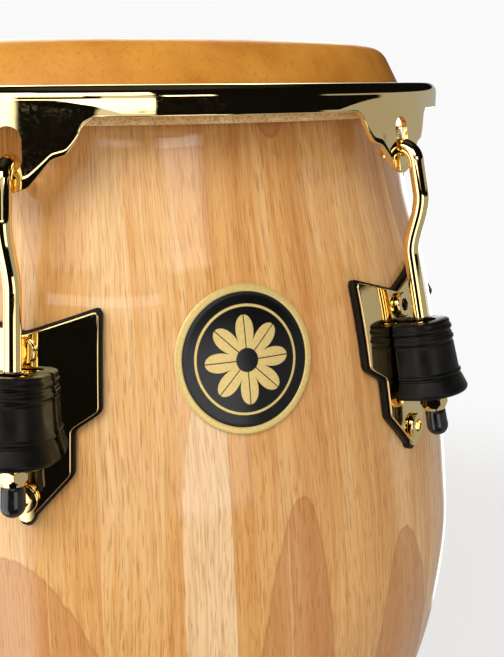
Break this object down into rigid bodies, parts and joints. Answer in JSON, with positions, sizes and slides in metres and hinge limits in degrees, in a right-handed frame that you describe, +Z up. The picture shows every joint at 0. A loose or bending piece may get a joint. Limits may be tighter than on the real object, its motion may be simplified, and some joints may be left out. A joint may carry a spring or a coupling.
{
  "type": "tumba",
  "caption": "Tall staved-wood hand drum with a hide head, a rolled rim with slotted ears, hooks tuned by nuts through rubber-guarded side plates, and a rubber foot ring.",
  "frame": {"origin": "centre of the foot ring's underside, on the drum's axis", "axes": "+Z up along the drum's axis; -Y is the front, where the badge is, midway between two lugs; +X passes through a lug"},
  "size_m": [0.4562, 0.409, 0.762],
  "materials": {
    "lacquered_wood": "clear gloss lacquer over vertical staves",
    "hide": "smooth amber hide",
    "raw_hide": "raw speckled hide, turned round a steel ring",
    "gold_plate": "gold-coloured plating on steel, mirror polish",
    "zinc_steel": "zinc plated",
    "black_rubber": "smooth satin black",
    "badge_black": "satin black enamel with a gold-coloured edge ring"
  },
  "bodies": {
    "drum": {"shell": "lacquered_wood", "base_ring": "black_rubber", "hide_head": "hide", "badge": "badge_black", "gasket_1": "black_rubber", "side_plate_1": "gold_plate", "backing_strip_1": "zinc_steel", "guard_1": "black_rubber", "upper_bolt_1": "gold_plate", "lower_bolt_1": "gold_plate", "gasket_2": "black_rubber", "side_plate_2": "gold_plate", "backing_strip_2": "zinc_steel", "guard_2": "black_rubber", "upper_bolt_2": "gold_plate", "lower_bolt_2": "gold_plate", "gasket_3": "black_rubber", "side_plate_3": "gold_plate", "backing_strip_3": "zinc_steel", "guard_3": "black_rubber", "upper_bolt_3": "gold_plate", "lower_bolt_3": "gold_plate", "gasket_4": "black_rubber", "side_plate_4": "gold_plate", "backing_strip_4": "zinc_steel", "guard_4": "black_rubber", "upper_bolt_4": "gold_plate", "lower_bolt_4": "gold_plate", "gasket_5": "black_rubber", "side_plate_5": "gold_plate", "backing_strip_5": "zinc_steel", "guard_5": "black_rubber", "upper_bolt_5": "gold_plate", "lower_bolt_5": "gold_plate", "gasket_6": "black_rubber", "side_plate_6": "gold_plate", "backing_strip_6": "zinc_steel", "guard_6": "black_rubber", "upper_bolt_6": "gold_plate", "lower_bolt_6": "gold_plate"},
    "rim": {"rim": "gold_plate", "flesh_hoop": "raw_hide"},
    "hook_1": {"hook_1": "gold_plate"},
    "hook_2": {"hook_2": "gold_plate"},
    "hook_3": {"hook_3": "gold_plate"},
    "hook_4": {"hook_4": "gold_plate"},
    "hook_5": {"hook_5": "gold_plate"},
    "hook_6": {"hook_6": "gold_plate"},
    "tuning_nut_1": {"tuning_nut_1": "gold_plate", "thread_cap_1": "black_rubber"},
    "tuning_nut_2": {"tuning_nut_2": "gold_plate", "thread_cap_2": "black_rubber"},
    "tuning_nut_3": {"tuning_nut_3": "gold_plate", "thread_cap_3": "black_rubber"},
    "tuning_nut_4": {"tuning_nut_4": "gold_plate", "thread_cap_4": "black_rubber"},
    "tuning_nut_5": {"tuning_nut_5": "gold_plate", "thread_cap_5": "black_rubber"},
    "tuning_nut_6": {"tuning_nut_6": "gold_plate", "thread_cap_6": "black_rubber"}
  },
  "joints": [
    {"name": "rim_travel", "type": "slide", "parent": "drum", "child": "rim", "axis": [0, 0, -1], "range_m": [-0.004, 0.004]},
    {"name": "hook_1_slide", "type": "slide", "parent": "drum", "child": "hook_1", "axis": [0.1057, -0.183, -0.9774], "range_m": [-0.00411, 0.00411]},
    {"name": "hook_2_slide", "type": "slide", "parent": "drum", "child": "hook_2", "axis": [0.2113, 0, -0.9774], "range_m": [-0.00411, 0.00411]},
    {"name": "hook_3_slide", "type": "slide", "parent": "drum", "child": "hook_3", "axis": [0.1057, 0.183, -0.9774], "range_m": [-0.00411, 0.00411]},
    {"name": "hook_4_slide", "type": "slide", "parent": "drum", "child": "hook_4", "axis": [-0.1057, 0.183, -0.9774], "range_m": [-0.00411, 0.00411]},
    {"name": "hook_5_slide", "type": "slide", "parent": "drum", "child": "hook_5", "axis": [-0.2113, 0, -0.9774], "range_m": [-0.00411, 0.00411]},
    {"name": "hook_6_slide", "type": "slide", "parent": "drum", "child": "hook_6", "axis": [-0.1057, -0.183, -0.9774], "range_m": [-0.00411, 0.00411]},
    {"name": "tuning_nut_1_turn", "type": "hinge", "parent": "drum", "child": "tuning_nut_1", "pos_m": [0.1014, -0.17563, 0.6248], "axis": [-0.1057, 0.183, 0.9774], "range_deg": [-1190, 1190]},
    {"name": "tuning_nut_2_turn", "type": "hinge", "parent": "drum", "child": "tuning_nut_2", "pos_m": [0.2028, 0, 0.6248], "axis": [-0.2113, 0, 0.9774], "range_deg": [-1190, 1190]},
    {"name": "tuning_nut_3_turn", "type": "hinge", "parent": "drum", "child": "tuning_nut_3", "pos_m": [0.1014, 0.17563, 0.6248], "axis": [-0.1057, -0.183, 0.9774], "range_deg": [-1190, 1190]},
    {"name": "tuning_nut_4_turn", "type": "hinge", "parent": "drum", "child": "tuning_nut_4", "pos_m": [-0.1014, 0.17563, 0.6248], "axis": [0.1057, -0.183, 0.9774], "range_deg": [-1190, 1190]},
    {"name": "tuning_nut_5_turn", "type": "hinge", "parent": "drum", "child": "tuning_nut_5", "pos_m": [-0.2028, 0, 0.6248], "axis": [0.2113, 0, 0.9774], "range_deg": [-1190, 1190]},
    {"name": "tuning_nut_6_turn", "type": "hinge", "parent": "drum", "child": "tuning_nut_6", "pos_m": [-0.1014, -0.17563, 0.6248], "axis": [0.1057, 0.183, 0.9774], "range_deg": [-1190, 1190]}
  ],
  "couplings": [
    {"joint": "hook_1_slide", "follows": "rim_travel", "ratio": 1.0231},
    {"joint": "hook_2_slide", "follows": "rim_travel", "ratio": 1.0231},
    {"joint": "hook_3_slide", "follows": "rim_travel", "ratio": 1.0231},
    {"joint": "hook_4_slide", "follows": "rim_travel", "ratio": 1.0231},
    {"joint": "hook_5_slide", "follows": "rim_travel", "ratio": 1.0231},
    {"joint": "hook_6_slide", "follows": "rim_travel", "ratio": 1.0231},
    {"joint": "tuning_nut_1_turn", "follows": "rim_travel", "rad_per_m": 5142.7},
    {"joint": "tuning_nut_2_turn", "follows": "rim_travel", "rad_per_m": 5142.7},
    {"joint": "tuning_nut_3_turn", "follows": "rim_travel", "rad_per_m": 5142.7},
    {"joint": "tuning_nut_4_turn", "follows": "rim_travel", "rad_per_m": 5142.7},
    {"joint": "tuning_nut_5_turn", "follows": "rim_travel", "rad_per_m": 5142.7},
    {"joint": "tuning_nut_6_turn", "follows": "rim_travel", "rad_per_m": 5142.7}
  ]
}
